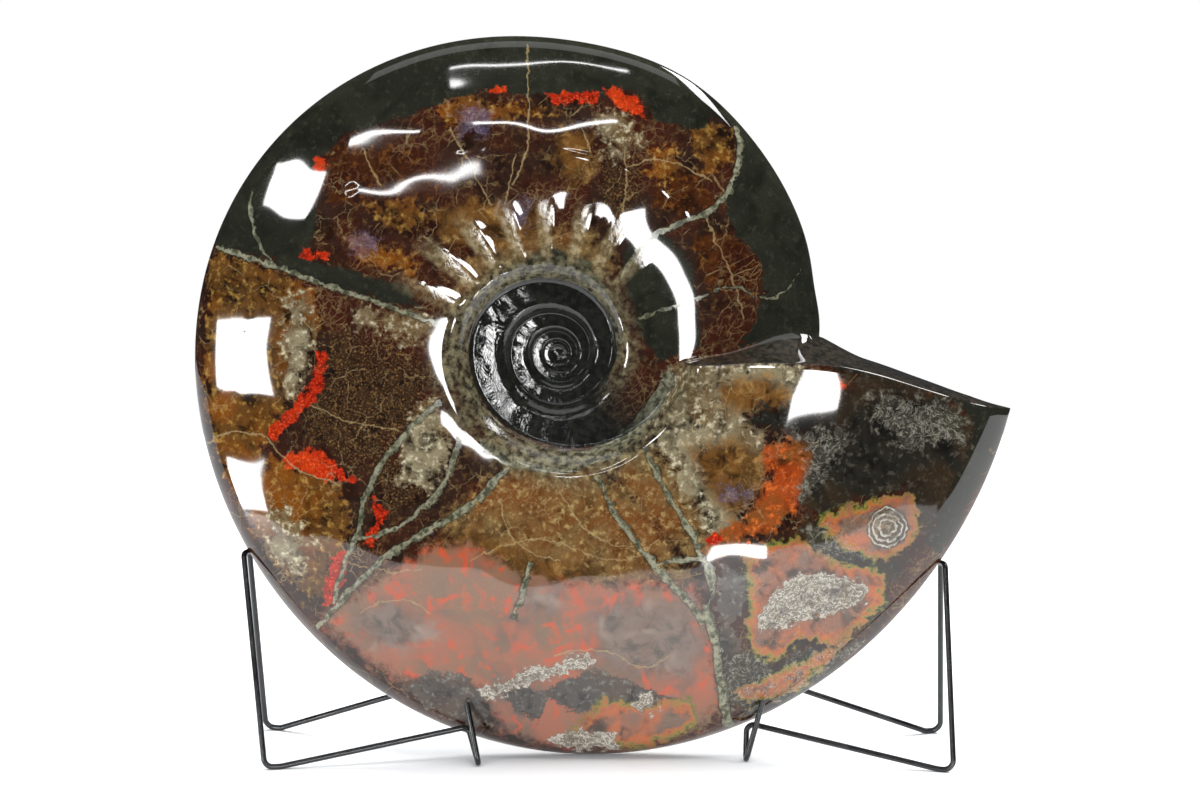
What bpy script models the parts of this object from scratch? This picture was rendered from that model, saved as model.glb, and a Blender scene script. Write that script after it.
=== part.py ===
"""Polished craspedodiscus ammonite standing in a two-piece bent-wire display stand.

Metres, +Z up, +X to the right as seen from the front, front face towards -Y.
The origin is on the table, under the middle of the whole thing.
"""
import math

import bmesh
import bpy
from mathutils import Vector

# Shell, in the plane of its coil
KEEL_RADIUS = 0.1481            # coil centre to keel where the last turn begins
TURN_GROWTH = 1.772             # how many times wider the coil is after a full turn
COIL_HEIGHT = 0.2327            # coil centre above the lowest point of the keel
APERTURE = math.radians(353.7)  # growth angle where the last turn ends
SWELLINGS = (                   # waves a turn, share of the radius, angle of a crest
    (2, 0.0093, math.radians(127.8)),
    (3, 0.0097, math.radians(31.1)),
)
BULGES = (                      # share of the radius, angle of the middle, half width
    (0.020, math.radians(63.4), math.radians(16.2)),
    (0.026, math.radians(-6.3), math.radians(10.3)),
)
NUCLEUS_DRIFT = (0.0050, -0.0050)   # the oldest turns lie a little off the coil centre
NUCLEUS_REACH = 0.035

# Section of a turn, in shares of the keel radius at the same angle
HALF_THICKNESS = 0.170
SEAM, MOUTH_SEAM = 0.222, 0.280     # inner edge, on the older turns and at the aperture
WALL, MOUTH_WALL = 0.160, 0.060     # width of the umbilical wall, in the same two places
BAND, MOUTH_BAND = 0.036, 0.070     # width of the bevel along the keel
BAND_HEIGHT = 0.28                  # half thickness where the bevel begins, of the greatest
MOUTH_LIP = 0.0025                  # depth of the rounding round the end face, in metres

# Short ribs over the umbilical shoulder
RIB_SPACING = math.radians(15.8)
RIB_HEIGHT = 0.0070

# Where the shell stands
LEAN = math.radians(4.0)        # it leans back
RIM_PLACE = (-0.0120, 0.0010)   # its lowest point: depth, and height above the table

# Facets
COLUMNS_PER_RIB = 4
OLDER_TURNS = 3
WALL_ROWS = (0.0, 0.30, 0.64, 1.0)
FLANK_ROWS = (0.17, 0.34, 0.51, 0.68, 0.84, 1.0)
BAND_ROWS = (0.55, 0.88, 1.0)
MOUTH_ROWS = (0.12, 0.50)
MOUTH_COLUMNS = 14

# Wire stand: how the wire is bent
WIRE = 0.0032                   # diameter
SIDES = 8                       # flats round the wire
CAP_RINGS = 2                   # rings of vertices that the caps add before the first point's
FLAT_DOWN = WIRE / 2 * math.cos(math.pi / SIDES)    # axis height where a flat is on the table
PRONG_BEND, ELBOW_BEND, FOOT_BEND, APEX_BEND = 0.0032, 0.0040, 0.0050, 0.0032
FOOT_LENGTH = 0.0090            # level part of an outer foot, its bends included
ARC_STEP = math.radians(26)

# Corners of the two wires: x, y, z of the axis before the bends are rounded
STAND_LEFT = (
    ("prong tip", (-0.0758, -0.0261, 0.0342), 0.0),
    ("prong foot", (-0.0692, -0.0365, WIRE / 2), PRONG_BEND),
    ("riser foot", (-0.0698, -0.0298, WIRE / 2), PRONG_BEND),
    ("front elbow", (-0.0755, -0.0196, 0.0188), ELBOW_BEND),
    ("front foot", (-0.1878, -0.0418, FLAT_DOWN), FOOT_BEND),
    ("front of the apex", (-0.2005, -0.0048, 0.1147), APEX_BEND),
    ("back of the apex", (-0.1977, 0.0014, 0.1147), APEX_BEND),
    ("rear foot", (-0.1929, 0.0467, FLAT_DOWN), FOOT_BEND),
    ("rear elbow", (-0.0745, 0.0109, 0.0420), ELBOW_BEND),
    ("rear tip", (-0.0760, 0.0178, 0.0620), 0.0),
)
STAND_RIGHT = (
    ("prong tip", (0.0892, -0.0230, 0.0348), 0.0),
    ("prong foot", (0.0799, -0.0265, WIRE / 2), PRONG_BEND),
    ("riser foot", (0.0799, -0.0201, WIRE / 2), PRONG_BEND),
    ("front elbow", (0.0804, -0.0128, 0.0193), ELBOW_BEND),
    ("front foot", (0.1942, -0.0481, FLAT_DOWN), FOOT_BEND),
    ("front of the apex", (0.1910, -0.0050, 0.1083), APEX_BEND),
    ("back of the apex", (0.1888, 0.0012, 0.1083), APEX_BEND),
    ("rear foot", (0.1926, 0.0395, FLAT_DOWN), FOOT_BEND),
    ("rear elbow", (0.0825, 0.0087, 0.0430), ELBOW_BEND),
    ("rear tip", (0.0840, 0.0147, 0.0612), 0.0),
)


def ease(start, end, value):
    """Smooth step from 0 at start to 1 at end."""
    t = min(1.0, max(0.0, (value - start) / (end - start)))
    return t * t * (3.0 - 2.0 * t)


def blend(first, last, share):
    return first + (last - first) * share


def keel_radius(angle):
    """Coil centre to keel: a logarithmic spiral with slow swellings and two short bulges."""
    swell = 1.0
    for waves, share, crest in SWELLINGS:
        swell += share * math.cos(waves * (angle - crest))
    for share, middle, width in BULGES:
        swell += share * math.exp(-((angle - middle) / width) ** 2)
    return KEEL_RADIUS * TURN_GROWTH ** (angle / math.tau) * swell


def ageing(angle):
    """0 on the older turns, 1 at the aperture, where the umbilicus has opened."""
    return ease(math.radians(250), APERTURE, angle)


def seam(angle):
    return blend(SEAM, MOUTH_SEAM, ageing(angle))


def shoulder(angle):
    """Where the umbilical wall ends and the flank begins."""
    return seam(angle) + blend(WALL, MOUTH_WALL, ageing(angle))


def cover(angle):
    """Where the next turn's seam lies on this one."""
    return seam(angle + math.tau) * TURN_GROWTH


def band_start(angle):
    return 1.0 - blend(BAND, MOUTH_BAND, ease(math.radians(290), math.radians(335), angle))


def flank_height(share, angle):
    """Half thickness outside the umbilical wall, 1 at its greatest and 0 on the keel."""
    top, band = shoulder(angle), band_start(angle)
    if share > band:
        t = min(1.0, (share - band) / (1.0 - band))
        return BAND_HEIGHT * (1.0 - t ** 1.25) ** 0.75
    t = max(0.0, (share - top) / (band - top))
    return blend(1.0, BAND_HEIGHT, t ** 1.7)


def rib_height(share, angle):
    """Low radial ribs, clearest at the top of the last turn."""
    across = ease(0.25, 0.31, share) * (1.0 - ease(0.38, 0.47, share))
    fresh = ease(math.radians(20), math.radians(50), angle)
    worn = ease(math.radians(140), math.radians(175), angle)
    lost = ease(math.radians(290), math.radians(340), angle)
    wave = math.cos(math.tau * (angle - math.radians(92)) / RIB_SPACING)
    return RIB_HEIGHT * across * blend(0.3, 1.0, fresh * (1.0 - worn)) * (1.0 - lost) * wave


def half_thickness(share, angle):
    """Half thickness of a turn, in metres, at a share of its keel radius."""
    low, top = seam(angle), shoulder(angle)
    height = flank_height(share, angle)
    if share < top:
        foot = flank_height(low * TURN_GROWTH, angle - math.tau) / TURN_GROWTH
        climb = 1.0 - ((top - share) / (top - low)) ** 2.4
        height = blend(foot, height, climb)
    return keel_radius(angle) * (HALF_THICKNESS * height + rib_height(share, angle))


def mouth_edge(share):
    """Angle by which the aperture's edge runs ahead of its seam corner."""
    inner = (max(0.0, 0.5 - share) / 0.22) ** 2
    return math.radians(3.4 * (1.0 - inner) - 5.1 * ease(0.55, 0.96, share))


def mouth_climb(share, across=1.0):
    """How far the end face stands out: it climbs up the older turn, and its lip is round."""
    fillet = 0.0125 * math.exp(-((share - 0.52) / 0.105) ** 2) * across ** 1.5
    lip = ease(MOUTH_SEAM, MOUTH_SEAM + 0.06, share) * (1.0 - ease(0.9, 1.0, share))
    return fillet + MOUTH_LIP * lip * math.sqrt(across * (2.0 - across))


def shell_point(radius, angle, depth):
    """Point of the upright shell, from its polar place in the coil and its depth."""
    pull = math.exp(-(radius / NUCLEUS_REACH) ** 2)
    across = radius * math.cos(angle) + NUCLEUS_DRIFT[0] * pull
    up = COIL_HEIGHT + radius * math.sin(angle) + NUCLEUS_DRIFT[1] * pull
    return Vector((across, -depth, up))


def row_shares(angle, exposed):
    """Where the rows of facets cross the section, from the seam outwards."""
    low, high, band = seam(angle), cover(angle), band_start(angle)
    shares = [blend(low, high, t) for t in WALL_ROWS]
    if exposed:
        shares += [blend(high, band, t) for t in FLANK_ROWS]
        shares += [blend(band, 1.0, t) for t in BAND_ROWS]
    return shares


def column_turn(share, row, angle):
    """Angle of a point in an exposed column, bent to the aperture near both its ends."""
    turn = angle + ease(math.radians(-30), 0.0, angle - APERTURE) * mouth_edge(share)
    if row >= len(WALL_ROWS):
        place = share / TURN_GROWTH
        away = 1.0 - ease(0.0, math.radians(32), angle + math.tau - APERTURE)
        climb = mouth_climb(place) / (share * keel_radius(angle))
        turn += away * (mouth_edge(place) + climb)
    return turn


def shell_column(mesh, angle, exposed, seam_vertex):
    """Vertices across the front of the shell at one growth angle, from seam to keel."""
    column = []
    for row, share in enumerate(row_shares(angle, exposed)):
        if row == 0 and seam_vertex:
            column.append(seam_vertex)
            continue
        turn = column_turn(share, row, angle) if exposed else angle
        depth = half_thickness(share, angle) if share < 1.0 else 0.0
        column.append(mesh.verts.new(shell_point(share * keel_radius(angle), turn, depth)))
    return column


def stitch(mesh, line, other):
    """Fill the strip between two lines of vertices with triangles, shortest links first."""
    i = j = 0
    while i < len(line) - 1 or j < len(other) - 1:
        link_i = (line[i + 1].co - other[j].co).length if i < len(line) - 1 else math.inf
        link_j = (other[j + 1].co - line[i].co).length if j < len(other) - 1 else math.inf
        if link_i <= link_j:
            corners = (line[i], line[i + 1], other[j])
            i += 1
        else:
            corners = (line[i], other[j + 1], other[j])
            j += 1
        if len(set(corners)) == 3:
            mesh.faces.new(corners)


def end_face_line(mesh, edge, across):
    """Line of vertices along the end face: across is 0 at its edge and 1 in the middle."""
    line = [edge[0]]
    for step in range(1, MOUTH_COLUMNS):
        share = blend(MOUTH_SEAM, 1.0, step / MOUTH_COLUMNS)
        older = min(1.0, share * TURN_GROWTH)
        inner = half_thickness(older, APERTURE - math.tau)
        depth = blend(half_thickness(share, APERTURE), inner, across)
        radius = share * keel_radius(APERTURE)
        turn = APERTURE + mouth_edge(share) + mouth_climb(share, across) / radius
        line.append(mesh.verts.new(shell_point(radius, turn, depth)))
    line.append(edge[-1])
    return line


def end_face(mesh, edge, older):
    """Front half of the polished end face, round the older turn that passes through it."""
    middle = [edge[-1]]
    for step in range(1, MOUTH_COLUMNS):
        share = blend(1.0, 1.0 / TURN_GROWTH, step / MOUTH_COLUMNS)
        radius = share * keel_radius(APERTURE)
        turn = APERTURE + mouth_edge(share) + mouth_climb(share) / radius
        middle.append(mesh.verts.new(shell_point(radius, turn, 0.0)))
    lines = [edge] + [end_face_line(mesh, edge, across) for across in MOUTH_ROWS]
    lines.append(older + middle[::-1])
    for line, following in zip(lines, lines[1:]):
        stitch(mesh, line, following)


def half_shell():
    """The front half of the shell, open along its middle plane."""
    mesh = bmesh.new()
    wall = len(WALL_ROWS) - 1
    per_turn = round(math.tau / (RIB_SPACING / COLUMNS_PER_RIB))
    first_exposed = OLDER_TURNS * per_turn
    columns = []
    for number in range(first_exposed + per_turn + 1):
        angle = APERTURE + (number / per_turn - OLDER_TURNS - 1) * math.tau
        under = columns[number - per_turn][wall] if number >= per_turn else None
        columns.append(shell_column(mesh, angle, number >= first_exposed, under))
    for column, following in zip(columns, columns[1:]):
        for row in range(len(column) - 1):
            corners = (column[row], column[row + 1], following[row + 1], following[row])
            mesh.faces.new(corners)
    end_face(mesh, columns[-1], columns[first_exposed][wall:])

    nucleus = [column[0] for column in columns[:per_turn]] + columns[0][wall::-1]
    middle = sum((vertex.co for vertex in nucleus), Vector()) / len(nucleus)
    stitch(mesh, nucleus, [mesh.verts.new(middle)])
    bmesh.ops.recalc_face_normals(mesh, faces=mesh.faces)
    return mesh


def principled(name, colour, roughness, metallic=0.0):
    material = bpy.data.materials.new(name)
    material.use_nodes = True
    shader = material.node_tree.nodes["Principled BSDF"]
    shader.inputs["Base Color"].default_value = (*colour, 1.0)
    shader.inputs["Roughness"].default_value = roughness
    shader.inputs["Metallic"].default_value = metallic
    return material


def make_ammonite(collection):
    """The shell: a front half mirrored in its middle plane and leaned back."""
    half = half_shell()
    data = bpy.data.meshes.new("ammonite")
    half.to_mesh(data)
    half.free()
    data.shade_smooth()
    data.set_sharp_from_angle(angle=math.radians(35))
    data.materials.append(principled("polished_shell", (0.10, 0.06, 0.045), 0.08))
    ammonite = bpy.data.objects.new("ammonite", data)
    collection.objects.link(ammonite)
    mirror = ammonite.modifiers.new("other side", "MIRROR")
    mirror.use_axis = (False, True, False)
    mirror.merge_threshold = 0.0001
    ammonite.rotation_euler.x = -LEAN
    turned = [ammonite.rotation_euler.to_matrix() @ vertex.co for vertex in data.vertices]
    left = min(point.x for point in turned)
    right = max(point.x for point in turned)
    lowest = min(point.z for point in turned)
    ammonite.location = (-(left + right) / 2, RIM_PLACE[0], RIM_PLACE[1] - lowest)
    return ammonite


def with_level_feet(stand):
    """Corners of a wire, with the inner end of the level stretch added at each outer foot."""
    places = {name: Vector(place) for name, place, bend in stand}
    corners = []
    for name, place, bend in stand:
        corner = [(Vector(place), bend)]
        if name in ("front foot", "rear foot"):
            inward = places[name.replace("foot", "elbow")] - places[name]
            inward.z = 0.0
            level_end = (places[name] + inward.normalized() * FOOT_LENGTH, FOOT_BEND)
            corner.insert(0 if name == "front foot" else 1, level_end)
        corners += corner
    return corners


def rounded(corners):
    """Points of a route whose corners are arcs of their bend radii."""
    points = [corners[0][0]]
    for (before, _), (corner, radius), (after, _) in zip(corners, corners[1:], corners[2:]):
        come = (corner - before).normalized()
        go = (after - corner).normalized()
        turn = come.angle(go)
        start = corner - come * radius * math.tan(turn / 2)
        inside = (go - come * go.dot(come)).normalized()
        steps = math.ceil(turn / ARC_STEP)
        for step in range(steps + 1):
            angle = turn * step / steps
            points.append(start + radius * (inside * (1 - math.cos(angle)) + come * math.sin(angle)))
    points.append(corners[-1][0])
    return points


def level_stretches(points):
    """Numbers of the points where a straight stretch along the table begins."""
    level = [abs(point.z - FLAT_DOWN) < 1e-6 for point in points]
    return [
        number for number in range(len(points) - 1)
        if level[number] and level[number + 1]
        and (points[number + 1] - points[number]).length > FOOT_LENGTH / 5
    ]


def flat_miss(ring, along):
    """Angle about a level stretch by which the flats of its section miss the table."""
    side = along.cross(Vector((0.0, 0.0, 1.0))).normalized()
    corner = ring[0] - sum(ring, Vector()) / SIDES
    angle = math.atan2(corner.dot(side), corner.z)
    return angle % (math.tau / SIDES) - math.pi / SIDES


def turn_flats_down(wire, points):
    """Twist the wire by less than half a flat, so that a flat lies down at each outer foot."""
    bpy.context.view_layer.update()
    shape = wire.evaluated_get(bpy.context.evaluated_depsgraph_get()).to_mesh()
    first, last = level_stretches(points)
    twists = []
    for number in (first, last):
        start = (number + CAP_RINGS) * SIDES
        ring = [vertex.co for vertex in shape.vertices[start:start + SIDES]]
        twists.append(-flat_miss(ring, points[number + 1] - points[number]))
    for number, point in enumerate(wire.data.splines[0].points):
        share = min(1.0, max(0.0, (number - first - 1) / (last - first - 1)))
        point.tilt = blend(twists[0], twists[1], share)


def make_wire(name, stand, material, collection):
    """One continuous wire, bent at the corners of its stand."""
    points = rounded(with_level_feet(stand))
    curve = bpy.data.curves.new(name, "CURVE")
    curve.dimensions = "3D"
    curve.bevel_depth = WIRE / 2
    curve.bevel_resolution = SIDES // 2 - 2
    curve.use_fill_caps = True
    spline = curve.splines.new("POLY")
    spline.points.add(len(points) - 1)
    for target, point in zip(spline.points, points):
        target.co = (*point, 1.0)
    spline.use_smooth = True
    curve.materials.append(material)
    wire = bpy.data.objects.new(name, curve)
    collection.objects.link(wire)
    turn_flats_down(wire, points)
    return wire


def centre(pieces):
    """Hang the pieces on an empty, moved so that the origin is under their middle."""
    bpy.context.view_layer.update()
    depsgraph = bpy.context.evaluated_depsgraph_get()
    places = []
    for piece in pieces:
        shape = piece.evaluated_get(depsgraph).to_mesh()
        places += [piece.matrix_world @ vertex.co for vertex in shape.vertices]
    middle = [(min(p[axis] for p in places) + max(p[axis] for p in places)) / 2 for axis in (0, 1)]
    origin = bpy.data.objects.new("middle", None)
    bpy.context.scene.collection.objects.link(origin)
    origin.location = (-middle[0], -middle[1], 0.0)
    for piece in pieces:
        piece.parent = origin


def build():
    for thing in list(bpy.data.objects):
        bpy.data.objects.remove(thing)
    collection = bpy.data.collections.new("craspedodiscus_ammonite")
    bpy.context.scene.collection.children.link(collection)
    black = principled("black_wire", (0.012, 0.012, 0.013), 0.35)
    centre([
        make_ammonite(collection),
        make_wire("stand_left", STAND_LEFT, black, collection),
        make_wire("stand_right", STAND_RIGHT, black, collection),
    ])
    bpy.context.view_layer.update()


build()
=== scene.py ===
# %% [markdown]
# A polished Craspedodiscus ammonite in its wire stand.
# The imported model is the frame: the sizes, the places and the pieces come from it.
# This script gives them their looks: a fine shell with its ribs and its polished end, and two
# round, painted wires. Everything is in metres, +Z up, with the front of the shell towards -Y.

# %% Load the frame
import math

import bmesh
import bpy
import numpy as np
from mathutils import Matrix, Vector, noise
from mathutils.bvhtree import BVHTree


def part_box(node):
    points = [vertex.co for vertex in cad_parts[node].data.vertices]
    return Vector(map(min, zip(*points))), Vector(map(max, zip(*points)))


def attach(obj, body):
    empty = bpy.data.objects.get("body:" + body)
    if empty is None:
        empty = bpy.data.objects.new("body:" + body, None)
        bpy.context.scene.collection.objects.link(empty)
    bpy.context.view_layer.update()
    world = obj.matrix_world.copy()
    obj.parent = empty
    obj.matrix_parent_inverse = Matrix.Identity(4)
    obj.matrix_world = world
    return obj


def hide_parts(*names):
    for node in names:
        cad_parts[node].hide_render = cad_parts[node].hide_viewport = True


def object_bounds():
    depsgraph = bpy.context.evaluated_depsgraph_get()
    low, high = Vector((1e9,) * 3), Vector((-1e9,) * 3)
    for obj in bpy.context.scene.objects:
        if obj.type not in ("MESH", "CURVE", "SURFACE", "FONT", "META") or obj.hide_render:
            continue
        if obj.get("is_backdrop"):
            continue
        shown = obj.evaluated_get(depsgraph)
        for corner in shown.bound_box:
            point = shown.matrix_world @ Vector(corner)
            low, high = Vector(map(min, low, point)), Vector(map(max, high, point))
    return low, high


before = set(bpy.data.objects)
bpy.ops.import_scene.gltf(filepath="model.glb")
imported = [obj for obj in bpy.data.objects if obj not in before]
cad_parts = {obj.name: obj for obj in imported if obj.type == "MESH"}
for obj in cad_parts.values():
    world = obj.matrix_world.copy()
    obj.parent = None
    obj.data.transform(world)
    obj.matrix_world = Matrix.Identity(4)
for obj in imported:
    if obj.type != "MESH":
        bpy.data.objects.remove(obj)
CAD_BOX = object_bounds()
SHELL_LOW, SHELL_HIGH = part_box("ammonite")
MM = 0.001
DEGREE = math.radians(1.0)
cad_size = [round(side / MM) for side in CAD_BOX[1] - CAD_BOX[0]]
print("frame:", sorted(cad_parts), "size in mm:", cad_size)

# %% [markdown]
# Blender's trees are made of nodes: Geometry Nodes make shapes, and shader nodes make finishes.
# One small function adds a node of any kind. Its inputs are filled in the order in which they
# show in the editor, each with a value or with a link from an earlier node.
# A colour is written as the screen shows it, and Blender needs it linear, so one function
# takes it from one to the other.

# %% Helpers for trees and colours
def add(tree, kind, *inputs, **settings):
    """Add a node with its settings, and fill or link its inputs in order."""
    node = tree.nodes.new(kind)
    for name, value in settings.items():
        setattr(node, name, value)
    for socket, value in zip([s for s in node.inputs if s.enabled], inputs):
        if isinstance(value, bpy.types.Node):
            value = next(s for s in value.outputs if s.enabled)
        if isinstance(value, bpy.types.NodeSocket):
            tree.links.new(value, socket)
        elif value is not None:
            socket.default_value = value
    return node


def value_of(tree, term, made):
    """What a term stands for: a node of its own, an earlier result by its name, or a plain value."""
    if isinstance(term, tuple) and isinstance(term[0], tuple):
        (kind, settings), *terms = term
        return add(tree, kind, *[value_of(tree, part, made) for part in terms], **settings)
    return made.get(term, term)


def work_through(tree, rows, made):
    """Work out each row (name, kind, terms) and keep its node by its name."""
    for name, *term in rows:
        made[name] = value_of(tree, tuple(term), made)


def linear(colour):
    """Linear RGBA of an sRGB hex colour such as "#c0ffee"."""
    shares = [int(colour[place:place + 2], 16) / 255 for place in (1, 3, 5)]
    return (*[s / 12.92 if s <= 0.04045 else ((s + 0.055) / 1.055) ** 2.4 for s in shares], 1.0)


def blend(first, last, share):
    """Value at a share of the way from the first to the last."""
    return first + (last - first) * share


def ease(start, end, value):
    """Smooth step from 0 at start to 1 at end, for a number or an array."""
    t = np.clip((value - start) / (end - start), 0.0, 1.0)
    return t * t * (3.0 - 2.0 * t)


def new_shape_tree(name, sizes):
    """A Geometry Nodes tree with named inputs; returns it and its inputs' sockets by name."""
    tree = bpy.data.node_groups.new(name, "GeometryNodeTree")
    tree.interface.new_socket("Geometry", in_out="OUTPUT", socket_type="NodeSocketGeometry")
    tree.interface.new_socket("Geometry", in_out="INPUT", socket_type="NodeSocketGeometry")
    for label, kind in sizes.items():
        tree.interface.new_socket(label, in_out="INPUT", socket_type="NodeSocket" + kind)
    sockets = add(tree, "NodeGroupInput").outputs
    return tree, {socket.name: socket for socket in sockets if socket.name}


def new_object(name, data):
    """Object with that data, linked into the scene."""
    made = bpy.data.objects.new(name, data)
    bpy.context.scene.collection.objects.link(made)
    return made


def shape_from(tree, data, values):
    """Plain mesh that the tree makes on an object with that data and those input values."""
    carrier = new_object(tree.name, data)
    modifier = carrier.modifiers.new(tree.name, "NODES")
    modifier.node_group = tree
    for item in tree.interface.items_tree:
        if item.in_out == "INPUT" and item.name in values:
            modifier[item.identifier] = values[item.name]
    made = bpy.data.meshes.new_from_object(carrier.evaluated_get(bpy.context.evaluated_depsgraph_get()))
    bpy.data.objects.remove(carrier)
    return made


# %% [markdown]
# The camera comes first, because the markings of the shell are placed by where a pixel of the
# photograph falls on it. The lens is long, so the picture is nearly without perspective: the
# camera stands 2.8 m away and looks down by 11 degrees on the middle of the shell.

# %% Camera
IMAGE_WIDTH = 1200
CAMERA_DROP = 11.0 * DEGREE
CAMERA_AWAY = 2.8
AIM = Vector((0.0, 0.0, 0.2011))
PIXELS_PER_METRE = 1800.0       # at the aim
AIM_PIXEL = Vector((603.0, 400.0))

camera_data = bpy.data.cameras.new("camera")
camera_data.sensor_width = 36.0
camera_data.lens = camera_data.sensor_width * PIXELS_PER_METRE * CAMERA_AWAY / IMAGE_WIDTH
camera_data.shift_x = (IMAGE_WIDTH / 2 - AIM_PIXEL.x) / IMAGE_WIDTH
camera_data.clip_end = 100.0
camera = new_object("camera", camera_data)
camera.location = AIM + CAMERA_AWAY * Vector((0.0, -math.cos(CAMERA_DROP), math.sin(CAMERA_DROP)))
camera.rotation_euler = (90.0 * DEGREE - CAMERA_DROP, 0.0, 0.0)
bpy.context.scene.camera = camera
print("camera: lens", round(camera_data.lens, 1), "mm at", [round(c, 3) for c in camera.location])

# %% [markdown]
# The shell is a tube that coils in a plane and grows by the same share each turn, which is a
# logarithmic spiral. A grid of points is enough to start from: each column of the grid becomes a
# section of the tube at one growth angle, and each row keeps its place across the section.
# All radii are shares of the radius of the keel, which is the outer edge.

# %% The rule of the shell: sizes
KEEL_RADIUS = 0.1481            # coil centre to keel where the last turn begins
TURN_GROWTH = 1.772             # how many times wider the coil is after a full turn
COIL_HEIGHT = 0.2327
APERTURE = 353.7 * DEGREE       # growth angle where the last turn ends
OLDER_END = APERTURE - math.tau
# Waves round a turn with their height and crest, and bumps with their height, place and width:
# small departures from the spiral that bring the outline to the photograph's
SWELLINGS = ((2, 0.0093, 127.8 * DEGREE), (3, 0.0097, 31.1 * DEGREE))
BULGES = (
    (0.020, 63.4 * DEGREE, 16.2 * DEGREE),
    (0.026, -6.3 * DEGREE, 10.3 * DEGREE),
)
NUCLEUS_DRIFT, NUCLEUS_REACH = (0.0050, -0.0050), 0.035     # the first turns lie off the centre
HALF_THICKNESS = 0.170
SEAM, MOUTH_SEAM = 0.222, 0.280     # where a turn meets the one inside it
WALL, MOUTH_WALL = 0.190, 0.060     # breadth of the wall that rises from the seam
STEEP_FROM, STEEP_SHARE = 0.62, 0.63    # its inner part is a cliff
BAND, MOUTH_BAND = 0.036, 0.070     # breadth of the band along the keel
BAND_HEIGHT = 0.28
FLANK_CURVE = 1.7               # the higher, the later the flank falls towards the band
MOUTH_LIP, LIP_ROUND, LIP_END = 0.0025, 0.06, (0.9, 1.0)
RIB_SPACING, RIB_HEIGHT, RIB_CREST = 15.8 * DEGREE, 0.0070, 92 * DEGREE
RIBS_ACROSS = (0.25, 0.31, 0.40, 0.56)  # radii where a rib starts, is full, fades and is gone
RIBS_ALONG = (48 * DEGREE, 75 * DEGREE, 140 * DEGREE, 175 * DEGREE)     # and growth angles
RIB_STRENGTH = 0.2
LEAN = 4.0 * DEGREE

COLUMNS_A_TURN = 320
OLDER_TURNS = 4
WALL_ROWS, FLANK_ROWS, BAND_ROWS = 16, 44, 14
STEP = math.tau / COLUMNS_A_TURN
print("shell:", COLUMNS_A_TURN, "columns a turn,", OLDER_TURNS, "older turns")

# %% [markdown]
# The whole rule is arithmetic on the number of the column and of the row, so Geometry Nodes can
# do it with Math and Map Range nodes, and a list of short sums is easier to read than a picture
# of a hundred nodes. Each line of such a list names its result, the kind of node and its inputs.
# An input is a value, the name of an earlier result, or a sum of its own in brackets.
# A few short functions give the lines that come back: a bell, a stretch that rises and falls,
# the wave of the ribs and the edge of the aperture.

# %% The rule of the shell: tree
PLUS, MINUS, TIMES, OVER, TIMES_PLUS, POWER, COSINE, SINE, EXPONENT = (
    ("ShaderNodeMath", {"operation": operation}) for operation in
    ("ADD", "SUBTRACT", "MULTIPLY", "DIVIDE", "MULTIPLY_ADD", "POWER", "COSINE", "SINE", "EXPONENT")
)
MODULO, FLOOR, ABOVE, SIZE, SMALLER, LARGER, FRACTION = (
    ("ShaderNodeMath", {"operation": operation}) for operation in
    ("MODULO", "FLOOR", "GREATER_THAN", "ABSOLUTE", "MINIMUM", "MAXIMUM", "FRACT")
)
LINE = ("ShaderNodeMapRange", {"interpolation_type": "LINEAR"})
EASE = ("ShaderNodeMapRange", {"interpolation_type": "SMOOTHSTEP"})


def bell(name, place, middle, width, height):
    """Rows for a smooth bump of a height and a half width around a middle."""
    return [
        (name, OVER, (MINUS, place, middle), width),
        (name, TIMES, (EXPONENT, (TIMES, (TIMES, name, name), -1.0)), height),
    ]


def stretch(name, place, start, full, fade, end, height):
    """Rows for a value that rises from 0 to a height and falls to 0 again along a place."""
    return [
        (name, EASE, place, start, full, 0.0, height),
        (name + " end", EASE, place, fade, end, 1.0, 0.0),
        (name, TIMES, name, name + " end"),
    ]


def rib_wave(spacing):
    """Sum for a wave that is 1 on the crest of each rib and -1 midway between ribs."""
    return (COSINE, (TIMES, (OVER, (MINUS, "angle", RIB_CREST), spacing), math.tau))


coil_tree, coil = new_shape_tree("ammonite_coil", {
    **dict.fromkeys(("Columns", "Rows", "Wall rows", "Flank rows", "Band rows"), "Int"),
    **dict.fromkeys(("Step", "End angle", "Keel radius", "Growth a turn", "Half thickness",
                     "Coil height", "Rib height", "Rib spacing"), "Float"),
    "Material": "Material",
})
coil["index"] = add(coil_tree, "GeometryNodeInputIndex")
coil["swell"] = 1.0

SPIRAL_SUMS = [
    ("row", MODULO, "index", "Rows"),
    ("column", FLOOR, (OVER, "index", "Rows")),
    ("ahead", PLUS, (MINUS, "column", "Columns"), 1.0),
    ("angle", TIMES_PLUS, "ahead", "Step", "End angle"),
    ("turns", OVER, "angle", math.tau),
    ("growth", POWER, "Growth a turn", "turns"),
    ("keel", TIMES, "Keel radius", "growth"),
]
for waves, share, crest in SWELLINGS:
    SPIRAL_SUMS += [
        ("wave", COSINE, (TIMES, (MINUS, "angle", crest), float(waves))),
        ("swell", TIMES_PLUS, "wave", share, "swell"),
    ]
for share, middle, width in BULGES:
    SPIRAL_SUMS += bell("bulge", "angle", middle, width, share) + [("swell", PLUS, "swell", "bulge")]
SPIRAL_SUMS.append(("keel", TIMES, "keel", "swell"))

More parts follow.
